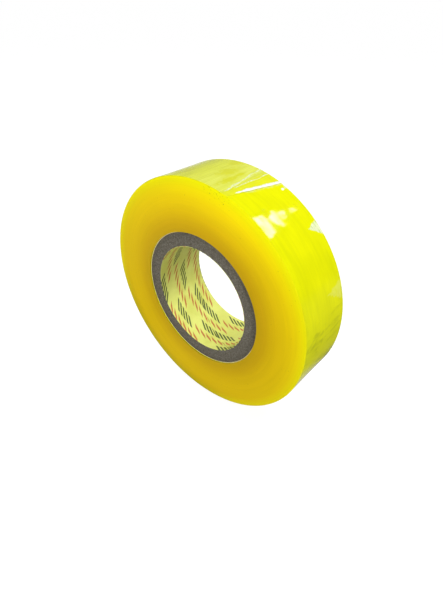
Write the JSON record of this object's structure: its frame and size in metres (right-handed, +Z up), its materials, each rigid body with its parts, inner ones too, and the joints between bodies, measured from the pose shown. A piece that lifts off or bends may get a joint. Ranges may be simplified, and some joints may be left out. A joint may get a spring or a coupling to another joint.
{
  "type": "adhesive tape roll",
  "caption": "Roll of glossy translucent yellow film tape on a thick grey board core with a printed paper liner; the free end peels from the tread.",
  "frame": {"origin": "centre of the roll: on its axis, midway between its two side faces", "axes": "+Y along the roll's axis from the front side face to the rear one, +Z up as it stands on its tread, +X to the right seen from the front"},
  "size_m": [0.1648, 0.041, 0.1649],
  "materials": {
    "printed_liner": "satin",
    "core_board": "matte",
    "core_wrap": "matte",
    "film_side": "satin",
    "film_tread": "gloss"
  },
  "bodies": {
    "roll": {"core_liner": "printed_liner", "core_ply_1": "core_board", "core_ply_2": "core_board", "core_ply_3": "core_board", "core_ply_4": "core_board", "core_ply_5": "core_board", "core_ply_6": "core_board", "core_ply_7": "core_board", "core_ply_8": "core_board", "core_ply_9": "core_board", "core_ply_10": "core_board", "core_wrap_ply": "core_wrap", "film_winding": "film_side", "outer_lap": "film_tread"},
    "tail_1": {"tail_segment_1": "film_tread"},
    "tail_2": {"tail_segment_2": "film_tread"},
    "tail_3": {"tail_segment_3": "film_tread"},
    "tail_4": {"tail_segment_4": "film_tread"},
    "tail_5": {"tail_segment_5": "film_tread"},
    "tail_6": {"tail_segment_6": "film_tread"}
  },
  "joints": [
    {"name": "tail_peel", "type": "hinge", "parent": "roll", "child": "tail_1", "pos_m": [-0.04, 0, 0.07216], "axis": [0, -1, 0], "range_deg": [0, 75]},
    {"name": "tail_curl_2", "type": "hinge", "parent": "tail_1", "child": "tail_2", "pos_m": [-0.02957, 0, 0.07702], "axis": [0, -1, 0], "range_deg": [0, 15]},
    {"name": "tail_curl_3", "type": "hinge", "parent": "tail_2", "child": "tail_3", "pos_m": [-0.01856, 0, 0.08039], "axis": [0, -1, 0], "range_deg": [0, 15]},
    {"name": "tail_curl_4", "type": "hinge", "parent": "tail_3", "child": "tail_4", "pos_m": [-0.00719, 0, 0.08219], "axis": [0, -1, 0], "range_deg": [0, 15]},
    {"name": "tail_curl_5", "type": "hinge", "parent": "tail_4", "child": "tail_5", "pos_m": [0.00432, 0, 0.08239], "axis": [0, -1, 0], "range_deg": [0, 15]},
    {"name": "tail_curl_6", "type": "hinge", "parent": "tail_5", "child": "tail_6", "pos_m": [0.01574, 0, 0.08098], "axis": [0, -1, 0], "range_deg": [0, 15]}
  ],
  "couplings": [
    {"joint": "tail_curl_2", "follows": "tail_peel", "ratio": 0.2},
    {"joint": "tail_curl_3", "follows": "tail_peel", "ratio": 0.2},
    {"joint": "tail_curl_4", "follows": "tail_peel", "ratio": 0.2},
    {"joint": "tail_curl_5", "follows": "tail_peel", "ratio": 0.2},
    {"joint": "tail_curl_6", "follows": "tail_peel", "ratio": 0.2}
  ]
}
